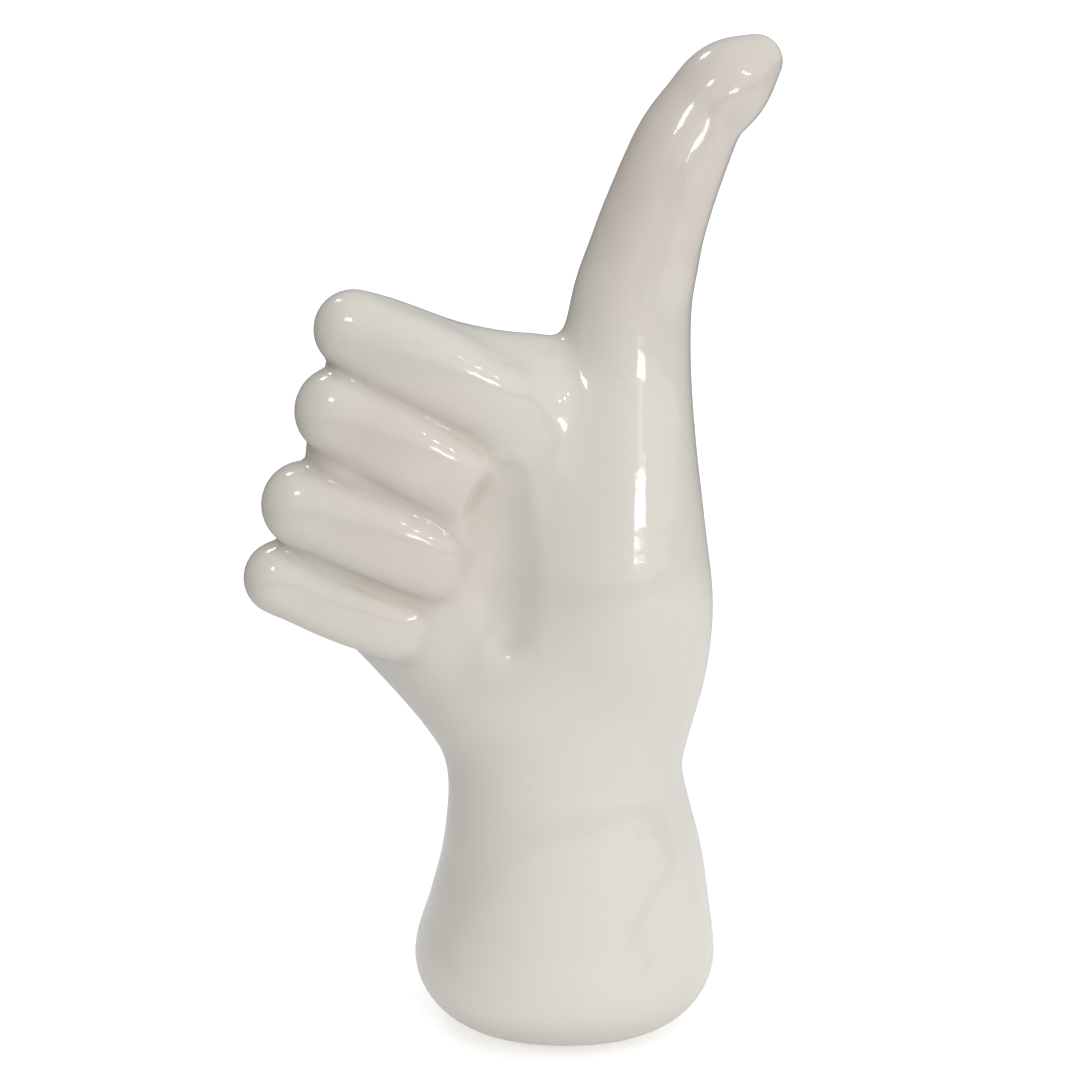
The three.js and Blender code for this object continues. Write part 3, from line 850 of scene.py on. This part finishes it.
class Nodes:
    """The node tree of a material or a world, with nodes added by short calls."""

    def __init__(self, owner):
        owner.use_nodes = True
        self.tree = owner.node_tree

    def link(self, source, target):
        self.tree.links.new(source, target)

    def add(self, kind, **settings):
        """A node with its properties set, and its inputs set or linked by name."""
        node = self.tree.nodes.new(kind)
        inputs = settings.pop("inputs", {})
        for name, value in settings.items():
            setattr(node, name, value)
        for name, value in inputs.items():
            self.feed(node.inputs[name], value)
        return node

    def feed(self, socket, value):
        """Gives a socket a value, or links it to the socket that gives one."""
        if isinstance(value, bpy.types.NodeSocket):
            self.link(value, socket)
        else:
            socket.default_value = value

    def share(self, name):
        """A share stored on the mesh's points."""
        return self.add("ShaderNodeAttribute", attribute_name=name).outputs["Fac"]

    def noise(self, scale, detail=2.0, roughness=0.5):
        """Noise in the piece's own space, its scale in features per metre."""
        position = self.add("ShaderNodeTexCoord").outputs["Object"]
        inputs = {"Vector": position, "Scale": scale, "Detail": detail, "Roughness": roughness}
        return self.add("ShaderNodeTexNoise", inputs=inputs).outputs["Fac"]

    def ramp(self, value, low, high, start=0.0, end=1.0):
        """The value's way from low to high, eased, as a share from start to end."""
        inputs = {"Value": value, "From Min": low, "From Max": high, "To Min": start, "To Max": end}
        node = self.add("ShaderNodeMapRange", interpolation_type="SMOOTHSTEP", inputs=inputs)
        return node.outputs["Result"]

    def mixed(self, share, first, second, kind="RGBA"):
        """One value into another by a share: colours, or the kind that is named."""
        first_in, second_in, result = MIX_SOCKETS[kind]
        inputs = {0: share, first_in: first, second_in: second}
        return self.add("ShaderNodeMix", data_type=kind, inputs=inputs).outputs[result]

    def maths(self, operation, first, second):
        """Two numbers put together, such as added or multiplied."""
        node = self.add("ShaderNodeMath", operation=operation, inputs={0: first, 1: second})
        return node.outputs[0]

    def bump(self, height, distance, strength=1.0, normal=None):
        """A normal that follows a height, whose full swing is a distance in metres."""
        inputs = {"Height": height, "Distance": distance, "Strength": strength}
        if normal is not None:
            inputs["Normal"] = normal
        return self.add("ShaderNodeBump", inputs=inputs).outputs["Normal"]

    def seen_by_camera(self):
        """1 for what the camera sees directly, and 0 for what it sees mirrored or lit."""
        return self.add("ShaderNodeLightPath").outputs["Is Camera Ray"]


def new_material(name):
    """A new material, its nodes and its shader."""
    material = bpy.data.materials.new(name)
    nodes = Nodes(material)
    return material, nodes, nodes.tree.nodes["Principled BSDF"]


def srgb(colour):
    """A colour as a picture shows it, 0 to 255, in the shader's linear values."""

    def linear(value):
        value /= 255
        return value / 12.92 if value <= 0.04045 else ((value + 0.055) / 1.055) ** 2.4

    return (*(linear(value) for value in colour), 1)


def grey(value):
    """A grey in the shader's linear values."""
    return (value, value, value, 1)


def glaze_material():
    """Warm white glaze with painted shade, cooler and darker in the creases and hollow, bare clay
    underneath.
    """
    material, nodes, shader = new_material("white_glaze")
    bare = nodes.share("bare")

    patches = nodes.ramp(nodes.noise(60), 0.38, 0.6, start=0.55)
    warm = nodes.maths("ADD", nodes.share("warm"), WARM_ALL_OVER)
    warm = nodes.maths("MULTIPLY", warm, patches)
    colour = nodes.mixed(warm, srgb(GLAZE_COLOUR), srgb(WARM_COLOUR))
    # painted shade: a darker, cooler colour in the creases and the palm's hollow
    painted_shade = nodes.maths("MULTIPLY", nodes.share("painted_shade"), 0.4)
    colour = nodes.mixed(painted_shade, colour, srgb(PAINTED_SHADE_COLOUR))
    specks = nodes.ramp(nodes.noise(1600, detail=0.0), 0.8, 0.84, end=0.2)
    colour = nodes.mixed(specks, colour, srgb(SPECK_COLOUR))
    mottled = nodes.noise(320, detail=6.0, roughness=0.7)
    clay_tone = nodes.mixed(mottled, *map(srgb, CLAY_COLOURS))
    nodes.feed(shader.inputs["Base Color"], nodes.mixed(bare, colour, clay_tone))

    ripple = nodes.bump(nodes.noise(55, detail=1.0), distance=0.0016, strength=0.05)
    peel = nodes.noise(420, detail=1.0)
    glaze_skin = nodes.bump(peel, distance=0.00022, strength=0.06, normal=ripple)
    clay_skin = nodes.bump(nodes.noise(2600, detail=4.0), distance=0.0001, strength=0.5)
    nodes.link(nodes.mixed(bare, glaze_skin, clay_skin, "VECTOR"), shader.inputs["Normal"])
    nodes.link(glaze_skin, shader.inputs["Coat Normal"])

    nodes.feed(shader.inputs["Roughness"], nodes.ramp(bare, 0.0, 1.0, start=0.3, end=0.85))
    nodes.feed(shader.inputs["Coat Weight"], nodes.ramp(bare, 0.0, 1.0, start=1.0, end=0.0))
    shader.inputs["Coat Roughness"].default_value = 0.06
    shader.inputs["Coat IOR"].default_value = 1.5
    shader.inputs["Specular IOR Level"].default_value = 0.2
    return material


def rubber_material():
    """Grey moulded rubber, mottled and slightly rough."""
    material, nodes, shader = new_material("pad_rubber")
    mottled = nodes.noise(900, detail=4.0, roughness=0.6)
    nodes.feed(shader.inputs["Base Color"], nodes.mixed(mottled, *map(srgb, RUBBER_COLOURS)))
    roughness = nodes.ramp(nodes.noise(500), 0.3, 0.7, start=0.6, end=0.8)
    nodes.feed(shader.inputs["Roughness"], roughness)
    grain = nodes.bump(nodes.noise(4200, detail=3.0), distance=0.00006, strength=0.6)
    nodes.link(grain, shader.inputs["Normal"])
    return material


def floor_material():
    """White card, lit through near the hand: white to the camera but for the shadow."""
    material, nodes, shader = new_material("white_card")
    position = nodes.add("ShaderNodeTexCoord").outputs["Object"]
    inputs = {0: position, 1: CARD_MIDDLE}
    away = nodes.add("ShaderNodeVectorMath", operation="DISTANCE", inputs=inputs)
    far = nodes.ramp(away.outputs["Value"], *CARD_EDGE)
    nodes.feed(shader.inputs["Base Color"], nodes.mixed(far, grey(CARD_NEAR), grey(CARD_FAR)))
    shader.inputs["Roughness"].default_value = 0.9
    shader.inputs["Specular IOR Level"].default_value = 0.0

    lit_through = nodes.ramp(far, 0.0, 1.0, start=CARD_GLOW, end=0.0)
    near_shown, far_shown = CARD_SHOWN
    shown = nodes.ramp(far, 0.0, 1.0, start=near_shown, end=far_shown)
    shown = nodes.maths("MULTIPLY", nodes.seen_by_camera(), shown)
    strength = nodes.maths("MAXIMUM", lit_through, shown)
    glow = nodes.add("ShaderNodeEmission", inputs={"Strength": strength})
    inputs = {0: shader.outputs[0], 1: glow.outputs[0]}
    lifted = nodes.add("ShaderNodeAddShader", inputs=inputs)
    nodes.link(lifted.outputs[0], nodes.tree.nodes["Material Output"].inputs["Surface"])
    return material


def make_floor():
    """The card that the hand stands on, which isn't part of the object."""
    corners = np.array([(-1, -1, 0), (1, -1, 0), (1, 1, 0), (-1, 1, 0)])
    floor = add_mesh("floor", corners * FLOOR_HALF_WIDTH / MM, [(0, 1, 2, 3)])
    floor.data.materials.append(floor_material())


def direction(azimuth, elevation):
    """A unit vector from the hand: degrees right of the front, and degrees up."""
    turn, rise = math.radians(azimuth), math.radians(elevation)
    level = math.cos(rise)
    return Vector((math.sin(turn) * level, -math.cos(turn) * level, math.sin(rise)))


def make_world():
    """A white studio that glows more on the side of its big window."""
    world = bpy.data.worlds.new("studio")
    nodes = Nodes(world)
    looking = nodes.add("ShaderNodeTexCoord").outputs["Generated"]
    inputs = {0: looking, 1: direction(*WINDOW)}
    toward = nodes.add("ShaderNodeVectorMath", operation="DOT_PRODUCT", inputs=inputs)
    inputs = {
        "Value": toward.outputs["Value"],
        "From Min": -1,
        "To Min": SHADE_GLOW,
        "To Max": WINDOW_GLOW,
    }
    glow = nodes.add("ShaderNodeMapRange", inputs=inputs).outputs["Result"]
    background = nodes.tree.nodes["Background"]
    background.inputs["Color"].default_value = grey(1)
    strength = nodes.mixed(nodes.seen_by_camera(), glow, 1.0, "FLOAT")
    nodes.link(strength, background.inputs["Strength"])
    bpy.context.scene.world = world


def add_lamp(name, target, distance, azimuth, elevation, wide, tall, glow):
    """A lamp facing a target: its direction and size in degrees, its face's brightness."""
    light = bpy.data.lights.new(name, "AREA")
    light.shape = "RECTANGLE"
    light.size = 2 * distance * math.tan(math.radians(wide / 2))
    light.size_y = 2 * distance * math.tan(math.radians(tall / 2))
    light.energy = math.pi * glow * light.size * light.size_y
    light.color = LAMP_COLOUR
    lamp = bpy.data.objects.new(name, light)
    away = direction(azimuth, elevation)
    lamp.location = target + away * distance
    lamp.rotation_euler = away.to_track_quat("Z", "Y").to_euler()
    bpy.context.scene.collection.objects.link(lamp)


def make_lamps():
    """The window's panes and the small lamps, which leave their glints in the glaze."""
    for azimuth, elevation, wide, tall, glow in PANES:
        add_lamp("pane", THUMB_FRONT, PANE_DISTANCE, azimuth, elevation, wide, tall, glow)
    small_lamps = [
        ("bulb", BULBS, BULB_SIZE, BULB_GLOW),
        ("left_lamp", LEFT_LAMPS, LEFT_LAMP_SIZE, LEFT_LAMP_GLOW),
    ]
    for name, directions, size, glow in small_lamps:
        for azimuth, elevation in directions:
            add_lamp(name, HAND_MIDDLE, LAMP_DISTANCE, azimuth, elevation, size, size, glow)


def make_camera():
    """The photograph's view: a little above the hand, looking down at it."""
    camera_data = bpy.data.cameras.new("camera")
    camera_data.sensor_width = SENSOR_WIDTH
    camera_data.lens = SENSOR_WIDTH * CAMERA_FOCAL_PIXELS / PHOTO_PIXELS
    camera = bpy.data.objects.new("camera", camera_data)
    camera.location = CAMERA_AT
    camera.rotation_euler = (math.radians(90 - CAMERA_PITCH), 0, 0)
    bpy.context.scene.collection.objects.link(camera)
    bpy.context.scene.camera = camera


make_hand()
rubber = rubber_material()
for node in PAD_NODES:
    make_pad(node, rubber)
make_floor()
make_world()
make_lamps()
make_camera()

bpy.context.scene.view_settings.view_transform = "Standard"
